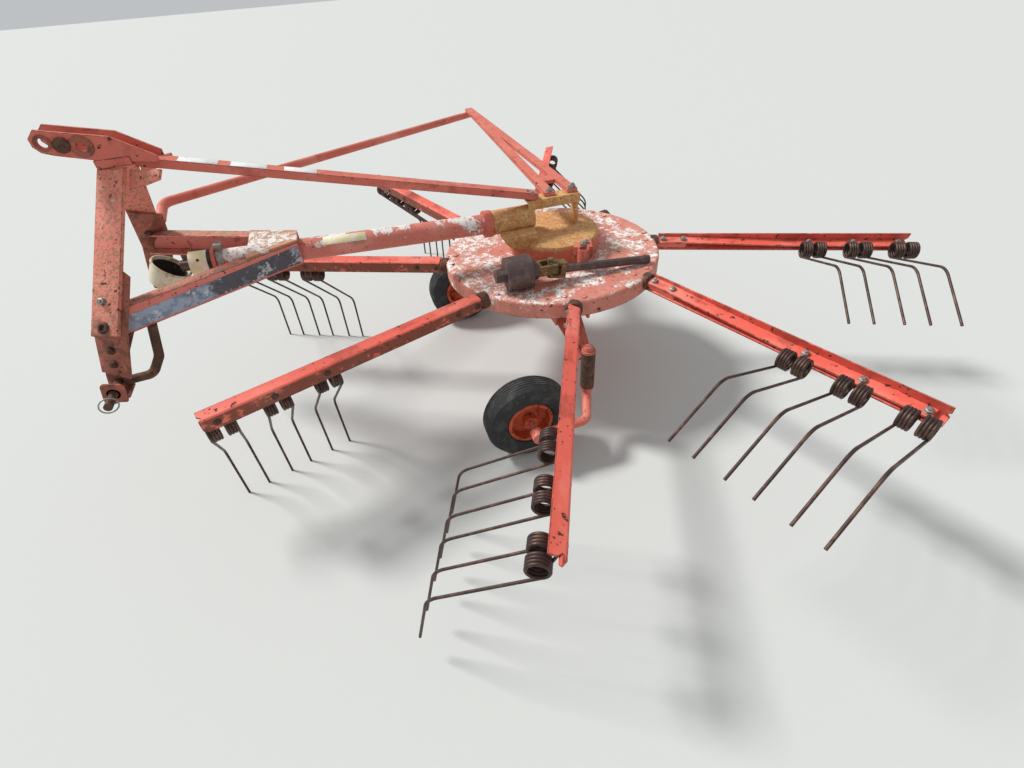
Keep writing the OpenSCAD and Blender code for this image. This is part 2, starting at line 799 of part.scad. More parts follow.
// A double tine: two coils on one axis, a loop round the bolt, and a bent prong from each outer wrap
module double_tine(prongs) {
  pitch = wire_d - 0.6;
  first = coil_reach - pitch * (coil_wraps - 1) / 2;
  last = coil_reach + pitch * (coil_wraps - 1) / 2;
  prong_d = wire_d - 0.8;
  back = 2 * [cos(tine_slope), -sin(tine_slope)];
  from = tine_start + back;
  for (side = [-1, 1]) {
    translate([side * coil_reach, -coil_drop, coil_z]) rotate([0, 90, 0]) rotate_extrude($fn = 40)
      for (k = [0 : coil_wraps - 1]) translate([coil_r, (k - (coil_wraps - 1) / 2) * pitch])
        circle(d = wire_d, $fn = 20);
    rod([side * first, -coil_drop - 2, loop_z], [side * first, 1, loop_z], prong_d);
  }
  translate([0, 0, loop_z]) rotate_extrude(angle = 180) translate([first, 0])
    circle(d = prong_d + bend_swell, $fn = 20);
  for (side = prongs) {
    x = side * last;
    bar([[x, from[0], from[1]], [x, tine_knee[0], tine_knee[1]], [x, tine_tip[0], tine_tip[1]]],
      tine_bend_r, prong_d, $fn = 20);
  }
}

module tines(i) {
  at_arm(i) color(rust) for (k = [0 : tines_per_arm - 1]) translate([tine_first + k * tine_pitch, 0, 0])
    double_tine(BROKEN[0] == i && BROKEN[1] == k ? [-1] : [-1, 1]);
}

// Castor leg: a round bar down through the sleeve, bent outwards and forwards, with the axle pin
module castor_leg() {
  out = 106;
  low = wheel_z + 10;
  top = sleeve_z + sleeve_h;
  color(red) {
    bar([[swivel_x, swivel_y, top + 22], [swivel_x, swivel_y, low + 20],
      [swivel_x + 46, swivel_y + out, low], [swivel_x + trail, swivel_y + out, wheel_z]], 34, leg_d);
    translate([swivel_x + trail, swivel_y + out + leg_d / 2 + 4, wheel_z]) rotate([90, 0, 0])
      cylinder(d = leg_d + 10, h = leg_d + 8);
    translate([swivel_x + trail, swivel_y + out, wheel_z]) rotate([90, 0, 0])
      cylinder(d = wheel_axle_d, h = out + 56);
    translate([swivel_x, swivel_y, top + face_gap]) cylinder(d = leg_d + 16, h = 8);
    translate([swivel_x, swivel_y, sleeve_z - face_gap - 8]) cylinder(d = leg_d + 16, h = 8);
  }
}

module castor_leg_left() {
  at_rotor() castor_leg();
}

module castor_leg_right() {
  at_rotor() right() castor_leg();
}

module at_wheel() {
  translate([swivel_x + trail, swivel_y, wheel_z]) rotate([-90, 0, 0]) children();
}

// Pressed rim with a dished disc and a hub bored for the axle
module rim() {
  half = rim_half;
  sheet = rim_sheet;
  color(bright_red) at_wheel() difference() {
    rotate_extrude($fn = 72) {
      translate([rim_d / 2 - sheet, -half]) square([sheet, 2 * half]);
      translate([rim_d / 2 - sheet, -half]) square([12, sheet]);
      translate([rim_d / 2 - sheet, half - sheet]) square([12, sheet]);
      polygon([[24, 6], [50, -6], [rim_d / 2 - 2, -2], [rim_d / 2 - 2, 4], [50, 0], [24, 12]]);
      translate([wheel_axle_d / 2 + run_gap, -44]) square([16, 88]);
      translate([wheel_axle_d / 2 + run_gap, 4]) square([16, 10]);
    }
  }
}

module rim_left() {
  at_rotor() rim();
}

module rim_right() {
  at_rotor() right() rim();
}

// Ribbed tyre
module tyre() {
  r = tyre_d / 2;
  half = tyre_w / 2;
  bead = rim_d / 2 + face_gap;
  seat = rim_half - rim_sheet - face_gap;
  rib = 11;
  color(rubber) at_wheel() rotate_extrude($fn = 96) difference() {
    polygon([[bead, -seat], [bead + 9, -seat], [bead + 14, -half + 7], [bead + 34, -half],
      [r - 30, -half], [r - 10, -half + 10], [r, -half + 26], [r, half - 26], [r - 10, half - 10],
      [r - 30, half], [bead + 34, half], [bead + 14, half - 7], [bead + 9, seat], [bead, seat]]);
    for (k = [-2 : 2]) translate([r - 4, k * rib - 1.5]) square([6, 3]);
  }
}

module tyre_left() {
  at_rotor() tyre();
}

module tyre_right() {
  at_rotor() right() tyre();
}

gearbox_dome();
pinion_housing();
input_tube();
top_bracket();
curtain_socket();
drawbar_left();
drawbar_right();
gusset_plate();
mast_leg_left();
mast_leg_right();
toplink_head();
toplink_pin();
hitch_foot_left();
hitch_foot_right();
brace_left();
brace_right();
top_strut();
guard_hoop();
guard_stays();
pto_shield();
shield_clamp();
rotor_axle();
cross_beam();
castor_sleeves();
loose_clutch();
loose_joint();
loose_shaft();
pto_stub();
rotor_drum();
rotor_floor();
arm(0);  // arm_1
arm(1);  // arm_2
arm(2);  // arm_3
arm(3);  // arm_4
arm(4);  // arm_5
arm(5);  // arm_6
arm(6);  // arm_7
tines(0);  // tines_1
tines(1);  // tines_2
tines(2);  // tines_3
tines(3);  // tines_4
tines(4);  // tines_5
tines(5);  // tines_6
tines(6);  // tines_7
castor_leg_left();
castor_leg_right();
rim_left();
rim_right();
tyre_left();
tyre_right();
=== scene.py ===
# Rotary hay rake: camera, light, finishes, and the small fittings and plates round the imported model
import bpy
import json
import math
from mathutils import Matrix, Vector


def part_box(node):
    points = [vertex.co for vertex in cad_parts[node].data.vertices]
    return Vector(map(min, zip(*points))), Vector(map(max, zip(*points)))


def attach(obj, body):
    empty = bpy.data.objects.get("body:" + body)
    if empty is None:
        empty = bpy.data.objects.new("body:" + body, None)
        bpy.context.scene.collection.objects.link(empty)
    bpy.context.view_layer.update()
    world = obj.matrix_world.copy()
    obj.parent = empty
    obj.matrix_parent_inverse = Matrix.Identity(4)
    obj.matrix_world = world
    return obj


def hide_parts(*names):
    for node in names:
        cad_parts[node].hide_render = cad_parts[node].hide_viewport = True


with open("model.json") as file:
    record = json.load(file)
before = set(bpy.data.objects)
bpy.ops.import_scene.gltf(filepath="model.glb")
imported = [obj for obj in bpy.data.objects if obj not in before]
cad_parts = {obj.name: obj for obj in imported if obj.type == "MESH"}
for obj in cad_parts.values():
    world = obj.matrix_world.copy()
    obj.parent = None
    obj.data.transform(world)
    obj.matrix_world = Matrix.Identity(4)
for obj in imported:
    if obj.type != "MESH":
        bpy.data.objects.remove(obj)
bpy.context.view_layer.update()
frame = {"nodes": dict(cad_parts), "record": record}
print("frame loaded")

# Places that the pieces share, all read from the frame, in metres
drumLow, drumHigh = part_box("rotor_drum")
rotor = Vector(((drumLow[0] + drumHigh[0]) / 2, (drumLow[1] + drumHigh[1]) / 2, drumHigh[2]))


def spot(x, y, z):
    # A place ahead of the rotor's axis, to its left and above the drum's top, in millimetres
    return rotor + Vector((x, y, z)) / 1000


def at(x, y, z):
    # The same place, for a form that keeps the row's directions
    return Matrix.Translation(spot(x, y, z))


def shift(x, y, z):
    # A move in millimetres
    return Matrix.Translation(Vector((x, y, z)) / 1000)


def spin(degrees, axis):
    return Matrix.Rotation(math.radians(degrees), 4, axis)


# Turns a form's Z to the machine's left and its Y downwards
leftward = Matrix(((1, 0, 0, 0), (0, 0, 1, 0), (0, -1, 0, 0), (0, 0, 0, 1)))

# The drum's eight sockets, one for each arm and one that is empty
drumSockets = {"count": 8, "firstTurn": 19.55}
sockets = [at(0, 0, 0) @ spin(drumSockets["firstTurn"] + number * 360 / drumSockets["count"], "Z")
           for number in range(drumSockets["count"])]

# How far out from the rotor's axis each arm's joint lies, and the roll at which its tines stand highest
armRoot = {"jointAt": 0.42, "highRoll": 18.0}


def armFrames(values):
    # The place and turn of each arm: X along the arm from the rotor, Y to its leading side, Z to its strip
    places = {}
    for joint in frame["record"]["behaviour"]["joints"]:
        if joint["name"].startswith("arm_"):
            along = Vector(joint["axis"])
            start = Vector(joint["pos_m"]) - along * values["jointAt"]
            azimuth = math.degrees(math.atan2(along.y, along.x))
            roll = values["highRoll"] - joint["range_deg"][0]
            number = joint["name"].split("_")[1]
            places[number] = Matrix.Translation(start) @ spin(azimuth, "Z") @ spin(roll, "X")
    return places


arms = armFrames(armRoot)


def colour(hexValue):
    # sRGB hex to the linear values that the shader takes
    parts = [int(hexValue[i:i + 2], 16) / 255 for i in (1, 3, 5)]
    return tuple(p / 12.92 if p <= 0.04045 else ((p + 0.055) / 1.055) ** 2.4 for p in parts) + (1.0,)


def addNode(tree, kind, settings=None, values=None, links=None):
    made = tree.nodes.new(kind)
    for key, value in (settings or {}).items():
        setattr(made, key, value)
    for key, value in (values or {}).items():
        made.inputs[key].default_value = value
    for key, source in (links or {}).items():
        tree.links.new(source, made.inputs[key])
    return made


def layer(shade, patchMm, above, soft=0.03, strength=1.0, **more):
    # A layer of a finish: its colour, the size of its patches, the noise value above which they show, the
    # softness of their rim and how much they cover. It may lie on edges only or on tops only, where aside is
    # what the sides lose. Band is an axis and the two places in metres between which the layer fades out
    usual = {"rough": None, "height": 0.0, "seed": 0.0, "stretch": (1, 1, 1), "detail": 5.0, "ragged": 0.6,
             "only": None, "reachMm": 4, "aside": -0.12, "band": None, "fade": -0.35}
    first = {"colour": shade, "patchMm": patchMm, "above": above, "soft": soft, "strength": strength}
    return {**first, **usual, **more}


# What worn edges add to the noise, from flat places to sharp edges, and the slopes of sides and of tops
wear = {"flat": 0.995, "sharp": 0.9, "edgeMore": 0.22, "side": -0.2, "top": 0.9}


def finish(name, look, place=None):
    # One finish: a ground colour under layers of fading, lichen, chips or dirt, in patches of real size
    made = bpy.data.materials.new(name)
    made.use_nodes = True
    tree = made.node_tree
    shader = tree.nodes["Principled BSDF"]
    coords = addNode(tree, "ShaderNodeTexCoord")
    where = coords.outputs["Object"]
    if place is not None:
        back = place.inverted()
        own = {"Location": back.to_translation(), "Rotation": back.to_euler()}
        where = addNode(tree, "ShaderNodeMapping", values=own, links={"Vector": where}).outputs[0]
    split = addNode(tree, "ShaderNodeSeparateXYZ", links={0: where})
    paint = addNode(tree, "ShaderNodeRGB").outputs[0]
    paint.default_value = colour(look["ground"])
    rough = addNode(tree, "ShaderNodeValue").outputs[0]
    rough.default_value = look["rough"]
    fine = {"Scale": 1000 / look["grainMm"], "Detail": 3.0}
    grain = addNode(tree, "ShaderNodeTexNoise", values=fine, links={"Vector": where})
    height = addNode(tree, "ShaderNodeMath", {"operation": "MULTIPLY"}, {1: look["grainHeight"]},
                     {0: grain.outputs[0]}).outputs[0]
    for part in look["layers"]:
        moved = {"Location": (part["seed"], 0.3 * part["seed"], 0.0), "Scale": part["stretch"]}
        own = addNode(tree, "ShaderNodeMapping", values=moved, links={"Vector": where})
        pattern = {"Scale": 1000 / part["patchMm"], "Detail": part["detail"], "Roughness": part["ragged"]}
        cover = addNode(tree, "ShaderNodeTexNoise", values=pattern,
                        links={"Vector": own.outputs[0]}).outputs[0]
        changes = []
        if part["only"] == "edges":
            # Chips where the rounded normal leaves the flat one
            rounded = addNode(tree, "ShaderNodeBevel", {"samples": 6}, {"Radius": part["reachMm"] / 1000})
            flat = addNode(tree, "ShaderNodeNewGeometry")
            turn = addNode(tree, "ShaderNodeVectorMath", {"operation": "DOT_PRODUCT"},
                           links={0: rounded.outputs[0], 1: flat.outputs["Normal"]}).outputs["Value"]
            limits = {1: wear["flat"], 2: wear["sharp"], 3: 0.0, 4: wear["edgeMore"]}
            changes.append(addNode(tree, "ShaderNodeMapRange", values=limits, links={0: turn}))
        if part["only"] == "top":
            facing = addNode(tree, "ShaderNodeSeparateXYZ", links={0: coords.outputs["Normal"]})
            limits = {1: wear["side"], 2: wear["top"], 3: part["aside"], 4: 0.0}
            changes.append(addNode(tree, "ShaderNodeMapRange", values=limits, links={0: facing.outputs[2]}))
        if part["band"]:
            axis, full, none = part["band"]
            limits = {1: full, 2: none, 3: 0.0, 4: part["fade"]}
            changes.append(addNode(tree, "ShaderNodeMapRange", values=limits, links={0: split.outputs[axis]}))
        for change in changes:
            cover = addNode(tree, "ShaderNodeMath", {"operation": "ADD"},
                            links={0: cover, 1: change.outputs[0]}).outputs[0]
        limits = {1: part["above"], 2: part["above"] + part["soft"], 3: 0.0, 4: part["strength"]}
        mask = addNode(tree, "ShaderNodeMapRange", values=limits, links={0: cover}).outputs[0]
        paint = addNode(tree, "ShaderNodeMix", {"data_type": "RGBA"}, {7: colour(part["colour"])},
                        {0: mask, 6: paint}).outputs[2]
        rough = addNode(tree, "ShaderNodeMix", {"data_type": "FLOAT"}, {3: part["rough"] or look["rough"]},
                        {0: mask, 2: rough}).outputs[0]
        if part["height"]:
            height = addNode(tree, "ShaderNodeMath", {"operation": "MULTIPLY_ADD"}, {1: part["height"]},
                             {0: mask, 2: height}).outputs[0]
    soft = addNode(tree, "ShaderNodeBevel", {"samples": 4}, {"Radius": look.get("edgeMm", 1.5) / 1000})
    bump = addNode(tree, "ShaderNodeBump", values={"Strength": 1.0, "Distance": 0.001},
                   links={"Height": height, "Normal": soft.outputs[0]})
    tree.links.new(paint, shader.inputs["Base Color"])
    tree.links.new(rough, shader.inputs["Roughness"])
    tree.links.new(bump.outputs[0], shader.inputs["Normal"])
    shader.inputs["Metallic"].default_value = look.get("metallic", 0.0)
    return made


finishes = {}

# Sprayed enamel left outdoors: sun-bleached coral with ochre lichen specks, grey chalking and rusty chips
finishes["frameEnamel"] = {
    "ground": "#cf6a58", "rough": 0.62, "grainMm": 3.0, "grainHeight": 0.12, "edgeMm": 1.5,
    "layers": [
        layer("#e08876", 160, 0.5, 0.16, 0.7),
        layer("#a94b3d", 70, 0.54, 0.12, 0.6, seed=3.1),
        layer("#9c7a4e", 14, 0.6, 0.03, 0.75, rough=0.9, height=0.25, seed=7.7, only="top"),
        layer("#8f8a82", 9, 0.66, 0.02, 0.8, rough=0.85, height=-0.12, seed=1.9),
        layer("#5a3526", 16, 0.63, rough=0.9, height=-0.2, seed=5.3, only="edges"),
    ]}
# The drum's top: the same enamel, lime-white in large ragged areas, with olive grime between them
finishes["drumEnamel"] = {
    "ground": "#d07a6b", "rough": 0.6, "grainMm": 4.0, "grainHeight": 0.12,
    "layers": [
        layer("#e09a8e", 120, 0.47, 0.14, 0.8),
        layer("#a5503f", 60, 0.55, 0.1, 0.6, seed=2.2),
        layer("#a39072", 230, 0.52, 0.06, 0.75, rough=0.9, seed=4.0, detail=8.0, ragged=0.7, only="top",
              aside=-0.3),
        layer("#e6e2dc", 190, 0.49, 0.012, rough=0.8, height=0.3, seed=11.3, detail=10.0, ragged=0.78,
              only="top"),
        layer("#c9806c", 22, 0.49, 0.02, 0.9, height=-0.3, seed=14.1, detail=7.0, ragged=0.75),
        layer("#8a7a5c", 9, 0.61, 0.03, 0.8, rough=0.95, height=-0.2, seed=9.4),
        layer("#4c2f25", 20, 0.64, rough=0.9, height=-0.2, seed=8.1, only="edges", reachMm=5),
    ]}
# The tube: coral enamel under thick white flakes left by old lime
finishes["tubeEnamel"] = {
    "ground": "#cf7160", "rough": 0.55, "grainMm": 4.0, "grainHeight": 0.1,
    "layers": [
        layer("#dd9184", 150, 0.48, 0.14, 0.8),
        layer("#9a6a4e", 90, 0.56, 0.1, 0.7, seed=2.6),
        layer("#e4e0dc", 150, 0.485, 0.012, rough=0.75, height=0.5, seed=4.8, detail=10.0, ragged=0.76,
              only="top", aside=-0.14),
        layer("#c98672", 16, 0.55, 0.02, 0.9, height=-0.4, seed=14.1, detail=7.0, ragged=0.75),
        layer("#5b4438", 9, 0.63, rough=0.9, height=-0.2, seed=5.5),
    ]}
# The plate over the beams: lime-white at its edges, ochre lichen in the middle
finishes["limedPlate"] = {
    "ground": "#c98a70", "rough": 0.65, "grainMm": 4.0, "grainHeight": 0.15,
    "layers": [
        layer("#a8854e", 60, 0.47, 0.08, 0.8, rough=0.9, detail=8.0, ragged=0.7),
        layer("#e2deda", 130, 0.505, 0.012, rough=0.8, height=0.4, seed=3.7, detail=10.0, ragged=0.78),
        layer("#b88860", 18, 0.52, 0.02, 0.9, height=-0.4, seed=9.1, detail=7.0, ragged=0.75),
    ]}
# The mast's flat bars: coral with fine olive specks of lichen, grimy and brown below
finishes["legEnamel"] = {
    "ground": "#dc7f6c", "rough": 0.62, "grainMm": 3.0, "grainHeight": 0.12,
    "layers": [
        layer("#e89482", 120, 0.5, 0.14, 0.7),
        layer("#8f7a58", 10, 0.525, 0.03, 0.75, rough=0.9, height=0.2, seed=7.7, detail=7.0, ragged=0.7),
        layer("#bb4a55", 20, 0.62, 0.05, 0.6, seed=1.9),
        layer("#c9b9ae", 24, 0.64, 0.03, 0.7, seed=4.2),
        layer("#7d5642", 60, 0.4, 0.12, 0.85, rough=0.85, seed=2.1,
              band=(2, rotor.z + 0.2, rotor.z + 0.27)),
        layer("#5a3526", 16, 0.62, rough=0.9, height=-0.2, seed=5.3, only="edges"),
    ]}
# The drawbar channels: coral webs, tops weathered to a grey brown
finishes["beamEnamel"] = {
    "ground": "#d9786a", "rough": 0.62, "grainMm": 3.0, "grainHeight": 0.12,
    "layers": [
        layer("#e58a7c", 130, 0.5, 0.14, 0.7),
        layer("#a08468", 26, 0.4, 0.12, 0.85, rough=0.9, detail=7.0, ragged=0.7, only="top", aside=-0.6),
        layer("#6f5a44", 8, 0.56, 0.04, 0.7, rough=0.9, seed=3.0, only="top", aside=-0.3),
        layer("#8f3a2e", 60, 0.6, 0.06, 0.7, seed=5.0),
        layer("#5a3526", 16, 0.63, rough=0.9, height=-0.2, seed=5.3, only="edges"),
    ]}
# Sand-cast iron gearbox: flat ochre lichen over rust, its wall still coral
finishes["gearboxCasting"] = {
    "ground": "#c8925c", "rough": 0.88, "grainMm": 3.0, "grainHeight": 0.35,
    "layers": [
        layer("#b67848", 50, 0.5, 0.12, 0.7),
        layer("#d8ac72", 22, 0.5, 0.08, 0.8, seed=3.3, detail=8.0, ragged=0.7),
        layer("#ded0a4", 9, 0.6, 0.03, 0.8, height=0.3, seed=6.1),
        layer("#8a8a46", 14, 0.62, 0.04, 0.7, height=0.2, seed=8.8),
        layer("#6b4028", 10, 0.61, 0.03, 0.8, height=-0.2, seed=1.4),
        layer("#cf6450", 50, 0.38, 0.04, 0.9, rough=0.6, seed=2.4,
              band=(2, rotor.z + 0.066, rotor.z + 0.072), fade=-0.6),
    ]}
# Blank paper label, yellowed, on the tube
finishes["agedLabel"] = {
    "ground": "#e3d9ab", "rough": 0.6, "grainMm": 5.0, "grainHeight": 0.04,
    "layers": [
        layer("#efeada", 26, 0.48, 0.1, 0.8),
    ]}
# Blank paper label, white, on the strut
finishes["whiteLabel"] = {
    "ground": "#e6e4e2", "rough": 0.55, "grainMm": 5.0, "grainHeight": 0.03,
    "layers": [
        layer("#cfc8c6", 20, 0.55, 0.06, 0.7),
    ]}
# Bare steel, long rusted: dark brown with lighter bloom
finishes["rustedSteel"] = {
    "ground": "#5b4034", "rough": 0.82, "grainMm": 1.6, "grainHeight": 0.25, "metallic": 0.25,
    "layers": [
        layer("#7c5238", 30, 0.5, 0.1, 0.7),
        layer("#3a2a25", 18, 0.55, 0.06, 0.8, seed=4.4),
        layer("#93805f", 12, 0.63, 0.03, 0.6, seed=7.0, only="top"),
    ]}
# Drawn spring wire, oil-tempered, then weathered to a purple brown
finishes["springWire"] = {
    "ground": "#4a3833", "rough": 0.5, "grainMm": 1.2, "grainHeight": 0.08, "metallic": 0.55, "edgeMm": 0.4,
    "layers": [
        layer("#6f5546", 40, 0.5, 0.1, 0.7),
        layer("#2f2523", 14, 0.55, 0.06, 0.7, seed=3.9),
    ]}
# Hot-dip galvanised fasteners: matt zinc grey with a little rust
finishes["zincCoat"] = {
    "ground": "#a5a39c", "rough": 0.48, "grainMm": 1.5, "grainHeight": 0.05, "metallic": 0.8, "edgeMm": 0.5,
    "layers": [
        layer("#7f7b72", 8, 0.5, 0.08, 0.8),
        layer("#76543c", 6, 0.6, 0.04, 0.8, rough=0.85, seed=2.0),
    ]}
# Moulded polyethylene shield, chalked cream with yellowed and grimy patches
finishes["mouldedShield"] = {
    "ground": "#d9d2bb", "rough": 0.5, "grainMm": 5.0, "grainHeight": 0.06,
    "layers": [
        layer("#c9b98c", 70, 0.5, 0.1, 0.7),
        layer("#a98c4c", 30, 0.58, 0.05, 0.7, rough=0.75, seed=3.0),
        layer("#5f5a4a", 9, 0.65, 0.03, 0.8, rough=0.9, seed=6.6),
    ]}
# Enamel worn to rust on the low plates and straps
finishes["rustedPaint"] = {
    "ground": "#9c5a48", "rough": 0.75, "grainMm": 2.0, "grainHeight": 0.2,
    "layers": [
        layer("#6f4434", 40, 0.49, 0.1, 0.85),
        layer("#c06a56", 30, 0.56, 0.06, 0.8, seed=3.0),
        layer("#4a3028", 10, 0.6, 0.04, 0.8, seed=6.0),
    ]}
# Painted shade: a dark finish for the inside of the shield's mouth and for the holes, with a few brown patches
finishes["paintedShade"] = {
    "ground": "#2a2320", "rough": 0.85, "grainMm": 3.0, "grainHeight": 0.3,
    "layers": [
        layer("#6b5a3a", 22, 0.58, 0.05, 0.8),
    ]}
# Moulded tyre rubber, greyed by sun and dried mud
finishes["tyreRubber"] = {
    "ground": "#2a2a2b", "rough": 0.78, "grainMm": 2.0, "grainHeight": 0.12,
    "layers": [
        layer("#4b4a47", 50, 0.5, 0.12, 0.6),
        layer("#6d675c", 12, 0.62, 0.04, 0.5, rough=0.95, seed=4.1),
    ]}
# Orange enamel on the rims, blistered by rust
finishes["rimEnamel"] = {
    "ground": "#c8532a", "rough": 0.55, "grainMm": 2.5, "grainHeight": 0.12,
    "layers": [
        layer("#a8411f", 40, 0.5, 0.1, 0.7),
        layer("#6a3420", 16, 0.57, 0.04, rough=0.9, height=0.25, seed=5.0),
    ]}
# Dark greased steel of the clutch and profile bar
finishes["greasedSteel"] = {
    "ground": "#5c4c4a", "rough": 0.5, "grainMm": 2.0, "grainHeight": 0.15, "metallic": 0.5,
    "layers": [
        layer("#77635c", 30, 0.52, 0.08, 0.7),
        layer("#8a6a3c", 14, 0.6, 0.05, 0.7, rough=0.85, seed=3.5),
    ]}
# Golden-brown yokes of the drive shaft, forged and greased
finishes["forgedYoke"] = {
    "ground": "#77603c", "rough": 0.65, "grainMm": 2.0, "grainHeight": 0.25, "metallic": 0.3,
    "layers": [
        layer("#54402c", 20, 0.5, 0.08, 0.8),
        layer("#b79a58", 12, 0.6, 0.04, 0.7, seed=2.7),
    ]}
# Drawbar band: faded blue grey ahead, dark with silver flakes behind, with no words
bandPaint = {
    "ground": "#9aa6b8", "rough": 0.5, "grainMm": 3.0, "grainHeight": 0.06,
    "layers": [
        layer("#77829a", 30, 0.5, 0.08, 0.8),
        layer("#4a464a", 60, 0.3, 0.15, 0.92, rough=0.6, seed=2.0, band=(0, 0.26, 0.4)),
        layer("#c9ccd0", 40, 0.56, 0.015, 0.85, height=-0.1, seed=5.1, detail=10.0, ragged=0.78),
        layer("#5b4640", 16, 0.63, 0.03, 0.8, seed=8.0),
    ]}
# The arms keep a brighter coat: the wide top stays coral, and below the web face the arm is painted dark
# brown as painted shade. It is made once for each arm, in the arm's own directions
armEnamel = {
    "ground": "#e0604e", "rough": 0.5, "grainMm": 3.0, "grainHeight": 0.1, "edgeMm": 2.0,
    "layers": [
        layer("#ef8371", 130, 0.49, 0.12, 0.8, stretch=(0.4, 1, 1)),
        layer("#a8402f", 50, 0.56, 0.08, 0.6, seed=3.0, stretch=(0.5, 1, 1)),
        # Painted shade: dark brown on the arm's underside, below the web face
        layer("#6e4330", 30, 0.36, 0.08, 0.85, rough=0.85, seed=6.0, band=(2, -0.0178, -0.0165)),
        layer("#8b867e", 9, 0.665, 0.02, rough=0.85, height=-0.1, seed=1.2),
        layer("#4a2e22", 18, 0.62, rough=0.9, height=-0.2, seed=8.0, only="edges"),
    ]}

looks = {name: finish(name, look) for name, look in finishes.items()}

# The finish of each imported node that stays. The rest of the frame wears its enamel
nodeFinish = {
    "gearboxCasting": ["top_bracket"],
    "limedPlate": ["gusset_plate"],
    "beamEnamel": ["drawbar_left", "drawbar_right"],
    "tubeEnamel": ["input_tube"],
    "drumEnamel": ["rotor_drum", "rotor_floor"],
    "rustedSteel": ["brace_left", "brace_right", "toplink_pin", "rotor_axle", "castor_sleeves"],
    "greasedSteel": ["loose_clutch", "loose_shaft", "pto_stub"],
    "forgedYoke": ["loose_joint"],
    "rimEnamel": ["rim_left", "rim_right"],
    "tyreRubber": ["tyre_left", "tyre_right"],
    "springWire": ["tines_" + number for number in arms],
}


def dressNodes(wearers):
    worn = {node: looks[name] for name, nodes in wearers.items() for node in nodes}
    for number, place in arms.items():
        worn["arm_" + number] = finish("armEnamel", armEnamel, place)
    for name, piece in frame["nodes"].items():
        piece.data.materials.clear()
        piece.data.materials.append(worn.get(name, looks["frameEnamel"]))


dressNodes(nodeFinish)
print("finishes on the packed nodes")


def pickNothing():
    if bpy.context.mode != "OBJECT":
        bpy.ops.object.mode_set(mode="OBJECT")
    bpy.ops.object.select_all(action="DESELECT")


def pickOnly(piece):
    pickNothing()
    piece.select_set(True)
    bpy.context.view_layer.objects.active = piece


def settle(piece, name, material, body):
    # Puts a finished piece's place into its mesh and hands it to its body
    piece.name = name
    piece.data.name = name
    pickOnly(piece)
    bpy.ops.object.transform_apply(location=True, rotation=True, scale=True)
    bpy.ops.object.shade_smooth_by_angle(angle=math.radians(35))
    piece.data.materials.clear()
    piece.data.materials.append(material)
    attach(piece, body)
    return piece


def joined(pieces):
    # One piece from several
    pickNothing()
    for piece in pieces:
        piece.select_set(True)
    bpy.context.view_layer.objects.active = pieces[0]
    if len(pieces) > 1:
        bpy.ops.object.join()
    return pieces[0]


def copied(piece, place):
    # A copy with its own mesh
    twin = bpy.data.objects.new(piece.name, piece.data.copy())
    twin.data.transform(place)
    bpy.context.scene.collection.objects.link(twin)
    return twin


def copies(source, places):
    # One piece from copies of a source, each at its own place
    return joined([copied(source, place) for place in places])


def mirrored(pieces):
    # The same pieces on the machine's other side
    across = Matrix.Translation((0, 2 * rotor.y, 0)) @ Matrix.Scale(-1, 4, (0, 1, 0))
    made = [copied(piece, across) for piece in pieces]
    for twin in made:
        twin.data.flip_normals()
    return made


def bothSides(pieces, stem, wear, node):
    # Settles the left side's pieces and their mirror images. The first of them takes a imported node's place
    for side, group in (("left", pieces), ("right", mirrored(pieces))):
        done = [settle(piece, stem + part + "_" + side, looks[look], "frame")
                for piece, (part, look, slot) in zip(group, wear)]
        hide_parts(node + "_" + side)


def applied(piece, kind, settings):
    # One modifier, set and applied
    change = piece.modifiers.new("change", kind)
    for key, value in settings.items():
        setattr(change, key, value)
    pickOnly(piece)
    bpy.ops.object.modifier_apply(modifier=change.name)
    return piece


def bevelled(piece, widthMm, segments=2):
    # Rounds every edge that turns by more than 40 degrees
    return applied(piece, "BEVEL", {"width": widthMm / 1000, "segments": segments, "limit_method": "ANGLE",
                                    "angle_limit": math.radians(40)})


def facedOut(piece):
    pickOnly(piece)
    bpy.ops.object.mode_set(mode="EDIT")
    bpy.ops.mesh.select_all(action="SELECT")
    bpy.ops.mesh.normals_make_consistent(inside=False)
    bpy.ops.object.mode_set(mode="OBJECT")
    return piece


def plate(outline, thickness, place, edge=1.0):
    # A flat plate: its corners in millimetres in the place's XY, one face at Z 0. It lies below that face
    # where the corners run anticlockwise, and above it where they run clockwise
    bpy.ops.mesh.primitive_circle_add(vertices=len(outline), fill_type="NGON")
    made = bpy.context.object
    for vertex, corner in zip(made.data.vertices, outline):
        vertex.co = (corner[0] / 1000, corner[1] / 1000, 0)
    made.data.update()
    applied(made, "SOLIDIFY", {"thickness": thickness / 1000, "offset": -1})
    bevelled(facedOut(made), edge)
    made.data.transform(place)
    return made


def turned(profile, place, steps=64):
    # A ring: a closed profile of radius and height in millimetres, turned round the place's Z
    bpy.ops.mesh.primitive_circle_add(vertices=len(profile))
    made = bpy.context.object
    for vertex, (radius, height) in zip(made.data.vertices, profile):
        vertex.co = (radius / 1000, 0, height / 1000)
    applied(made, "SCREW", {"steps": steps, "render_steps": steps, "use_merge_vertices": True,
                            "merge_threshold": 0.00001})
    facedOut(made)
    made.data.transform(place)
    return made


def rod(radius, length, place, edge=1.0, sides=32, segments=2):
    # A round or many-sided bar up the place's Z
    bpy.ops.mesh.primitive_cylinder_add(vertices=sides, radius=radius / 1000, depth=length / 1000)
    made = bpy.context.object
    made.data.transform(shift(0, 0, length / 2))
    bevelled(made, edge, segments)
    made.data.transform(place)
    return made


def block(low, high, place, edge=1.5):
    # A box between two corners in millimetres, in the place's own directions
    bpy.ops.mesh.primitive_cube_add(size=1)
    made = bpy.context.object
    for vertex in made.data.vertices:
        vertex.co = [(a + b) / 2000 + c * (b - a) / 1000 for a, b, c in zip(low, high, vertex.co)]
    bevelled(made, edge)
    made.data.transform(place)
    return made


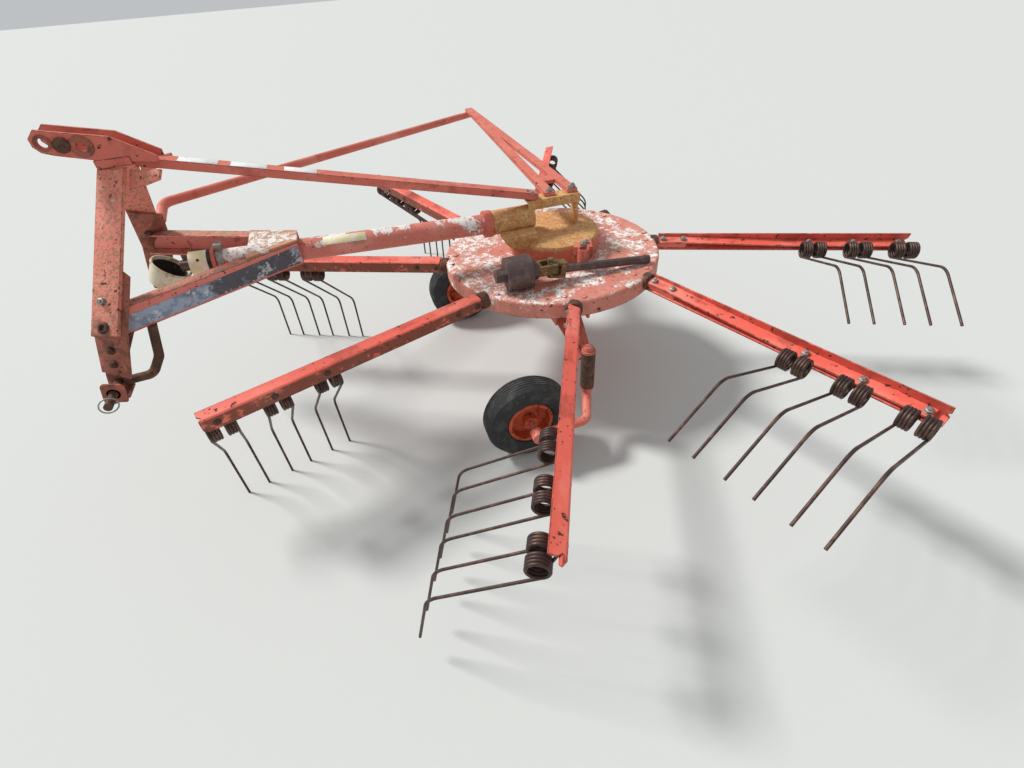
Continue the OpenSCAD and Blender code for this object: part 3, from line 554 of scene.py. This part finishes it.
def bentBar(points, radius, place):
    # A round bar or wire through points in millimetres
    bpy.ops.curve.primitive_bezier_curve_add()
    line = bpy.context.object.data
    line.splines.clear()
    spline = line.splines.new("POLY")
    spline.points.add(len(points) - 1)
    for point, corner in zip(spline.points, points):
        point.co = (corner[0] / 1000, corner[1] / 1000, corner[2] / 1000, 1)
    line.bevel_depth = radius / 1000
    line.bevel_resolution = 3
    line.use_fill_caps = True
    pickOnly(bpy.context.object)
    bpy.ops.object.convert(target="MESH")
    made = bpy.context.object
    made.data.transform(place)
    return made


def cutBack(piece, point, normal):
    # Takes off what lies ahead of a plane and closes the cut
    pickOnly(piece)
    bpy.ops.object.mode_set(mode="EDIT")
    bpy.ops.mesh.select_all(action="SELECT")
    bpy.ops.mesh.bisect(plane_co=point, plane_no=normal, clear_outer=True, use_fill=True)
    bpy.ops.object.mode_set(mode="OBJECT")
    return piece


def placed(origin, along, across):
    # A place whose Z runs along and whose Y lies nearest to across
    up = Vector(along).normalized()
    side = (Vector(across) - up * up.dot(Vector(across))).normalized()
    turn = Matrix((side.cross(up), side, up)).transposed()
    return Matrix.Translation(origin) @ turn.to_4x4()


# A hexagon bolt, its head up Z from the face it sits on. Each part has its radius, height, foot and edge in
# millimetres, then its sides and the steps of its edge
boltSizes = {
    "head": (10.5, 8, 1.8, 0.9, 6, 2),
    "washer": (12, 1.8, 0, 0.4, 24, 1),
    "thread": (5, 5, 8.8, 0.6, 16, 1),
}


def hexBolt(values):
    return joined([rod(radius, height, shift(0, 0, foot), edge, sides, segments)
                   for radius, height, foot, edge, sides, segments in values.values()])


# A coach bolt's low domed head
domeSizes = {"radius": 11, "height": 5.5, "segments": 20, "rings": 10}


def domeHead(values):
    bpy.ops.mesh.primitive_uv_sphere_add(segments=values["segments"], ring_count=values["rings"],
                                         radius=values["radius"] / 1000)
    made = bpy.context.object
    bpy.ops.object.mode_set(mode="EDIT")
    bpy.ops.mesh.select_all(action="SELECT")
    bpy.ops.mesh.bisect(plane_co=(0, 0, 0), plane_no=(0, 0, 1), clear_inner=True, use_fill=True)
    bpy.ops.object.mode_set(mode="OBJECT")
    made.data.transform(Matrix.Scale(values["height"] / values["radius"], 4, (0, 0, 1)))
    return made


# The arms' bolts: two at the root and three that hold the tines, with the faces that they sit on
armBolts = {"root": (446, 524), "tines": (1000, 1160, 1320), "rootTop": 16, "tineTop": 1, "webFace": -18.5}


def makeArmBolts(values, bolt, dome):
    for number, place in arms.items():
        tops = [place @ shift(x, 0, values["rootTop"]) for x in values["root"]]
        tops += [place @ shift(x, 0, values["tineTop"]) for x in values["tines"]]
        unders = [place @ shift(x, 0, values["webFace"]) @ spin(180, "X")
                  for x in values["root"] + values["tines"]]
        body = "tine_arm_" + number
        settle(copies(bolt, tops), "armBolts_" + number, looks["zincCoat"], body)
        settle(copies(dome, unders), "armDomes_" + number, looks["rustedSteel"], body)


boltForm = hexBolt(boltSizes)
domeForm = domeHead(domeSizes)
makeArmBolts(armBolts, boltForm, domeForm)
print("bolts on the arms")

# Mast legs: a flat bar from the head to the knee, and plates inside it that run down to the foot. Outlines,
# bolts and the hole are given as the way down the leg and the way across it
mastLeg = {
    "top": (1303, 34, 533), "knee": (1430, 330, 172), "foot": (1468, 345, 62),
    "bar": (-45, 36), "barFrom": -60, "barTo": 484, "thick": 12, "seatZ": 520,
    "inner": [(248, -46), (484, -46), (484, 50), (316, 50)], "innerThick": 9,
    "kneeEnd": (-10, -46, 50), "footEnd": (6, -38, 45),
    "gusset": [(75, 37), (44, 126), (16, 129), (17, 36)], "gussetThick": 8, "gussetDeep": 8,
    "bolt": (389, -12), "lowBolts": [(44, 1), (86, 4)],
    "hole": (461, -7), "rim": [(9, 0), (9, 5), (12, 6), (16, 3), (17, 0)], "holeShadeDisc": (9.5, 1.2),
    "wear": [("Bar", "legEnamel", "paint_faded"), ("Gusset", "legEnamel", "paint_faded"),
             ("Plate", "rustedPaint", "paint_faded"), ("Ring", "rustedSteel", "rusty_steel"),
             ("HoleShadeDisc", "paintedShade", "shield_plastic"), ("Bolt", "zincCoat", "galvanised"),
             ("PlateBolts", "rustedSteel", "rusty_steel")],
}


def makeMastLegs(values, bolt):
    top, knee, foot = (spot(*values[key]) for key in ("top", "knee", "foot"))
    wide = Vector((top.y - knee.y, knee.x - top.x, 0))
    # X of both places looks inwards, Y across the leg and Z down it
    upper, lower = placed(top, knee - top, wide), placed(knee, foot - knee, wide)
    half, thin = values["thick"] / 2, values["innerThick"]
    low, high = values["bar"]
    bar = block((-half, low, values["barFrom"]), (half, high, values["barTo"]), upper)
    cutBack(bar, spot(0, 0, values["seatZ"]), (0, 0, 1))
    behind = shift(half, 0, 0) @ Matrix(((0, 0, -1, 0), (0, 1, 0, 0), (1, 0, 0, 0), (0, 0, 0, 1)))
    inner = plate(values["inner"], thin, upper @ behind)
    start, startLow, startHigh = values["kneeEnd"]
    past, endLow, endHigh = values["footEnd"]
    end = (foot - knee).length * 1000 + past
    corners = [(start, startLow), (end, endLow), (end, endHigh), (start, startHigh)]
    plates = joined([plate(corners, thin, lower @ behind), inner])
    deep = upper @ behind @ shift(0, 0, -values["gussetDeep"])
    gusset = plate(values["gusset"], values["gussetThick"], deep)

    def facing(leg, depth, place, turn):
        return leg @ shift(depth, place[1], place[0]) @ spin(turn, "Y")

    hole = facing(upper, -half, values["hole"], -90)
    # The hole is a rusty rim round a dark disc of painted shade
    rim, holeShadeDisc = turned(values["rim"], hole, steps=40), rod(*values["holeShadeDisc"], hole, edge=0.2)
    bright = copies(bolt, [facing(upper, -half, values["bolt"], -90)])
    dull = [facing(lower, half, place, -90) for place in values["lowBolts"]]
    dull += [facing(upper, half + thin, values["bolt"], 90)]
    dull += [facing(lower, half + thin, place, 90) for place in values["lowBolts"]]
    pieces = [bar, gusset, plates, rim, holeShadeDisc, bright, copies(bolt, dull)]
    bothSides(pieces, "mast", values["wear"], "mast_leg")


makeMastLegs(mastLeg, boltForm)
print("mast legs")

# Hitch feet: a U strap with rounded flanges, the lower pin through it with its boss, and a lynch pin's ring
hitchFoot = {
    "pin": (1475, 24), "outer": 380, "inner": 316, "wall": 9, "lean": -14, "edge": 2.5,
    "flange": [(26, 31), (29, 22), (28, -26), (21, -33), (-21, -31), (-29, -22), (-30, 27), (-27, 31)],
    "floor": ((-24, -33, 2), (24, -26, 68)), "floorTurn": 194,
    "pinRadius": 11, "pinFrom": 302, "pinTo": 451.5,
    "boss": [(11.5, 0), (11.5, 9), (17, 9), (20, 5), (20, 0)],
    "ringAt": (1475, 440, 24), "ringRadius": 23, "ringWire": 4.0, "ringTurn": 25, "ringSides": 32,
    "wear": [("Strap", "rustedPaint", "paint_faded"), ("Pin", "rustedSteel", "rusty_steel"),
             ("Boss", "rustedSteel", "rusty_steel"), ("PinRing", "zincCoat", "galvanised")],
}


def makeHitchFeet(values):
    x, z = values["pin"]
    outer, inner, pinEnd = (at(x, values[key], z) @ leftward for key in ("outer", "inner", "pinFrom"))
    lean = spin(values["lean"], "Z")
    walls = [plate(values["flange"], values["wall"], side @ lean, values["edge"]) for side in (outer, inner)]
    strap = joined(walls + [block(*values["floor"], inner @ spin(values["floorTurn"], "Z"))])
    pin = rod(values["pinRadius"], values["pinTo"] - values["pinFrom"], pinEnd, edge=2)
    boss = turned(values["boss"], outer, steps=40)
    radius, sides = values["ringRadius"], values["ringSides"]
    around = [2 * math.pi * k / sides for k in range(sides + 1)]
    circle = [(radius * math.cos(angle), 0, radius * math.sin(angle)) for angle in around]
    ring = bentBar(circle, values["ringWire"] / 2, at(*values["ringAt"]) @ spin(values["ringTurn"], "Z"))
    bothSides([strap, pin, boss, ring], "hitch", values["wear"], "hitch_foot")


makeHitchFeet(hitchFoot)
print("hitch feet")

# Upper hitch: rusty flame-cut discs round the holes
headRings = {
    "face": 37.5,
    "rear": ((1355, 582), [(12.7, 0), (12.7, 3.8), (25, 3.8), (28, 2.5), (28, 0)]),
    "front": ((1437, 601.4), [(12.7, 0), (12.7, 3.8), (18, 3.8), (20.5, 2.5), (20.5, 0)]),
}


def makeHeadRings(values):
    near = joined([turned(profile, at(x, values["face"], z) @ leftward, steps=48)
                   for (x, z), profile in (values["rear"], values["front"])])
    settle(joined([near] + mirrored([near])), "headRings", looks["rustedPaint"], "frame")


makeHeadRings(headRings)

# Shield of the stub shaft: a soft cone that has dropped and shows its mouth, its half sleeve, collar and clamp
shaftShield = {
    "mouth": (1307, 0, 203), "facing": (-0.65, 0.0, 0.76), "tube": (1190, 0, 192), "rise": 2.8,
    "cone": [(55, 0), (58, -1), (59, -7), (56, -10), (51, -44), (44, -70), (8, -78), (8, -74), (40, -67),
             (47, -43), (52, -9), (53, -2)],
    "shadeLining": [(6, -72), (39, -66), (46, -42), (50.5, -12), (49.5, -12), (45, -42), (37, -64), (6, -70)],
    "sleeve": [(37, 4), (40, 4), (40, 58), (37, 58)], "cutAt": (1190, -12, 192), "cutFacing": (0, -1, -0.25),
    "collar": [(35, -8), (41, -8), (41, 3), (35, 3)], "flange": [(36, -22), (45, -22), (45, -9), (36, -9)],
    "clamp": [(36, -44), (40, -44), (40, -24), (36, -24)], "lug": ((34, -10, -46), (58, 10, -22)),
    "boltAt": (50, 10, -34), "holeTurn": 128, "holeAt": (39.6, 0, 30), "hole": (4.5, 0.9),
}


def makeShield(values, bolt):
    mouth = placed(spot(*values["mouth"]), values["facing"], (0, 1, 0))
    tube = at(*values["tube"]) @ spin(90 - values["rise"], "Y")
    above = tube @ spin(180, "Z")
    cone = turned(values["cone"], mouth)
    settle(cone, "shieldCone", looks["mouldedShield"], "frame")
    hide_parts("pto_shield")
    # Painted shade: a dark lining just inside the cone's mouth
    shadeLining = turned(values["shadeLining"], mouth)
    settle(shadeLining, "shieldShadeLining", looks["paintedShade"], "frame")
    sleeve = cutBack(turned(values["sleeve"], tube), spot(*values["cutAt"]), values["cutFacing"])
    settle(sleeve, "shieldSleeve", looks["agedLabel"], "frame")
    settle(turned(values["collar"], tube), "shieldCollar", looks["tyreRubber"], "frame")
    settle(turned(values["flange"], tube), "tubeFlange", looks["frameEnamel"], "frame")
    clamp = joined([turned(values["clamp"], tube), block(*values["lug"], above)])
    settle(clamp, "shieldBand", looks["zincCoat"], "frame")
    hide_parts("shield_clamp")
    tight = copies(bolt, [above @ shift(*values["boltAt"]) @ spin(-90, "X")])
    settle(tight, "clampBolt", looks["zincCoat"], "frame")
    hole = tube @ spin(values["holeTurn"], "Z") @ shift(*values["holeAt"]) @ spin(90, "Y")
    # A dark disc on the sleeve stands for a hole: painted shade
    holeShade = rod(*values["hole"], hole, edge=0.2, sides=20)
    settle(holeShade, "sleeveHoleShade", looks["paintedShade"], "frame")


makeShield(shaftShield, boltForm)
print("hitch rings and shaft shield")

# Gearbox: a broad flat lid with a rounded edge, the neck that takes the tube, and a post under the bracket
gearbox = {
    "lidAt": (-12, 0, 0),
    "lid": [(0.5, 8), (171, 8), (173, 12), (173, 70), (170, 78), (160, 84), (110, 89), (0.5, 91)],
    "neckFrom": 250, "neckTo": 72, "neckZ": 146, "neckRadius": 44, "neckEdge": 6, "rise": 2.8,
    "ring": [(36.5, -14), (47, -14), (48, -10), (48, 14), (47, 16), (36.5, 16)],
    "saddle": [(215, -122), (84, -122), (84, -60), (172, -60), (215, -104)],
    "saddleHalf": 34, "saddleEdge": 8,
    "post": ((-104, -24, 84), (-92, 24, 206)), "postEdge": 2,
}


def makeGearbox(values):
    lid = turned(values["lid"], at(*values["lidAt"]), steps=96)
    settle(lid, "gearboxLid", looks["gearboxCasting"], "frame")
    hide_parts("gearbox_dome")
    front, rear, half = values["neckFrom"], values["neckTo"], values["saddleHalf"]
    level = at(rear, 0, values["neckZ"]) @ spin(90, "Y")
    neck = rod(values["neckRadius"], front - rear, level, values["neckEdge"], sides=64)
    saddle = plate(values["saddle"], 2 * half, at(0, half, 0) @ leftward, values["saddleEdge"])
    casting = joined([neck, saddle])
    settle(casting, "gearboxNeck", looks["gearboxCasting"], "frame")
    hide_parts("pinion_housing")
    ring = turned(values["ring"], at(front, 0, values["neckZ"]) @ spin(90 - values["rise"], "Y"))
    settle(ring, "neckRing", looks["frameEnamel"], "frame")
    post = block(*values["post"], at(0, 0, 0), values["postEdge"])
    settle(post, "bracketPost", looks["gearboxCasting"], "frame")


makeGearbox(gearbox)
print("gearbox")

# Blank band on the near drawbar channel, and the blank labels of the tube and the strut. The band's corners
# run along the channel and down its web. The tube's label has its ends, its turns round the tube and its radius
markings = {
    "channelFrom": (908, 46, 186), "channelTurn": 27.18, "bandOut": 0.9,
    "band": [(4, -27), (548, -13), (560, 31), (4, 31)], "bandThick": 0.8,
    "tubeFrom": (250, 0, 146), "rise": 2.8, "tubeLabel": ((298, 440), (28, 78), 36.2),
    "paper": 0.6, "labelSides": 8,
    "strutFrom": (58, 0, 221), "strutTo": (1258, 0, 525), "strutTop": 12.2, "labelHalf": 22,
    "strutLabels": [(755, 850), (898, 997), (1030, 1133)],
}


def makeMarkings(values):
    web = at(*values["channelFrom"]) @ spin(values["channelTurn"], "Z")
    face = web @ shift(0, values["bandOut"], 0) @ leftward
    band = plate(values["band"], values["bandThick"], face, edge=0.2)
    settle(band, "drawbarBand", finish("bandPaint", bandPaint, web), "frame")
    (start, end), (fromTurn, toTurn), radius = values["tubeLabel"]
    paper, sides = values["paper"], values["labelSides"]
    steps = [math.radians(fromTurn + (toTurn - fromTurn) * k / sides) for k in range(sides + 1)]
    arc = [(radius * math.cos(angle), radius * math.sin(angle)) for angle in steps]
    outside = radius + paper
    arc += [(outside * math.cos(angle), outside * math.sin(angle)) for angle in reversed(steps)]
    tube = at(*values["tubeFrom"]) @ spin(-values["rise"], "Y") @ shift(end, 0, 0)
    lengthwise = Matrix(((0, 0, 1, 0), (1, 0, 0, 0), (0, 1, 0, 0), (0, 0, 0, 1)))
    label = plate(arc, end - start, tube @ lengthwise, edge=0.05)
    settle(label, "tubeLabel", looks["agedLabel"], "frame")
    # X of the strut's place looks down
    rear, front = spot(*values["strutFrom"]), spot(*values["strutTo"])
    strut = placed(rear, front - rear, (0, 1, 0))
    top, half = -values["strutTop"], values["labelHalf"]
    labels = [block((top - paper, -half, low), (top, half, high), strut, edge=0.1)
              for low, high in values["strutLabels"]]
    settle(joined(labels), "strutLabels", looks["whiteLabel"], "frame")


makeMarkings(markings)
print("band and labels")

# Bolts of the frame, each with its place and the way its head points, and the drum's bolts by every socket
fittings = {
    "bracketBolts": [((92, 0, 233), (-0.25, 0, 1)), ((78, 16, 230), (-0.25, 0, 1)),
                     ((-80, 4, 226), (0, 0, 1)), ((-92, -6, 226), (0, 0, 1)), ((4, -4, 226), (0, 0, 1))],
    "curtainBolts": [((-52, 190, 82), (0, 0, 1)), ((-70, 176, 82), (0, 0, 1))],
    "drumRadius": 372, "drumSides": (73, 141),
}


def makeFittings(values, bolt, dome):
    for name in ("bracketBolts", "curtainBolts"):
        places = [placed(spot(*place), way, (0, 1, 0.01)) for place, way in values[name]]
        settle(copies(bolt, places), name, looks["zincCoat"], "frame")
    heads = [socket @ shift(values["drumRadius"], side, 0)
             for socket in sockets for side in values["drumSides"]]
    settle(copies(dome, heads), "drumBolts", looks["drumEnamel"], "rotor")


makeFittings(fittings, boltForm, domeForm)
print("bolts of the frame and the drum")

# Rusty cups where the arms' shafts leave the drum
armCups = {"profile": [(17.6, 396), (17.6, 424), (27, 424), (30, 420), (30, 396)], "side": 107, "depth": -25}


def makeArmCups(values):
    outward = shift(0, values["side"], values["depth"]) @ spin(90, "Y")
    cups = [turned(values["profile"], socket @ outward, steps=40) for socket in sockets]
    settle(joined(cups), "armCups", looks["rustedSteel"], "rotor")


makeArmCups(armCups)
print("arm cups")

for form in (boltForm, domeForm):
    bpy.data.objects.remove(form)

# Camera: the photograph's place and turn, in the row's frame
cameraView = {"place": (0.5716, 1.8165, 1.4616), "lens": 18.19, "sensor": 36, "pitch": 40.1, "roll": -4.27,
              "heading": (-0.2653, -0.9641)}


def setCamera(values):
    pitch, roll = math.radians(values["pitch"]), math.radians(values["roll"])
    level = Vector((*values["heading"], 0)).normalized()
    right = Vector((level.y, -level.x, 0))
    ahead = level * math.cos(pitch) + Vector((0, 0, -1)) * math.sin(pitch)
    up = right.cross(ahead)
    sideways = right * math.cos(roll) + up * math.sin(roll)
    upward = -right * math.sin(roll) + up * math.cos(roll)
    data = bpy.data.cameras.new("viewCamera")
    data.lens = values["lens"]
    data.sensor_width = values["sensor"]
    camera = bpy.data.objects.new("viewCamera", data)
    turn = Matrix((sideways, upward, -ahead)).transposed()
    camera.matrix_world = Matrix.Translation(values["place"]) @ turn.to_4x4()
    bpy.context.scene.collection.objects.link(camera)
    bpy.context.scene.camera = camera


setCamera(cameraView)

# Floor, world and sun of a plain bright studio
studio = {"floorColour": "#c9cac6", "floorRough": 0.9, "floorHalf": 30.0, "world": "#e2e5e8",
          "worldStrength": 0.68, "keyStrength": 3.2, "keySpread": 12.0, "keyTurn": (38, 18, 30)}


def setStudio(values):
    bpy.ops.mesh.primitive_plane_add(size=2 * values["floorHalf"], location=(0, 0, 0))
    floor = bpy.context.object
    floor.name = "studioFloor"
    pale = bpy.data.materials.new("studioPaper")
    pale.use_nodes = True
    shader = pale.node_tree.nodes["Principled BSDF"]
    shader.inputs["Base Color"].default_value = colour(values["floorColour"])
    shader.inputs["Roughness"].default_value = values["floorRough"]
    floor.data.materials.append(pale)
    world = bpy.data.worlds.new("studioWorld")
    world.use_nodes = True
    sky = world.node_tree.nodes["Background"]
    sky.inputs["Color"].default_value = colour(values["world"])
    sky.inputs["Strength"].default_value = values["worldStrength"]
    bpy.context.scene.world = world
    sun = bpy.data.lights.new("keyLamp", "SUN")
    sun.energy = values["keyStrength"]
    sun.angle = math.radians(values["keySpread"])
    lamp = bpy.data.objects.new("keyLamp", sun)
    lamp.rotation_euler = [math.radians(angle) for angle in values["keyTurn"]]
    bpy.context.scene.collection.objects.link(lamp)


setStudio(studio)
bpy.context.scene.view_settings.view_transform = "Standard"
print("camera and studio set")
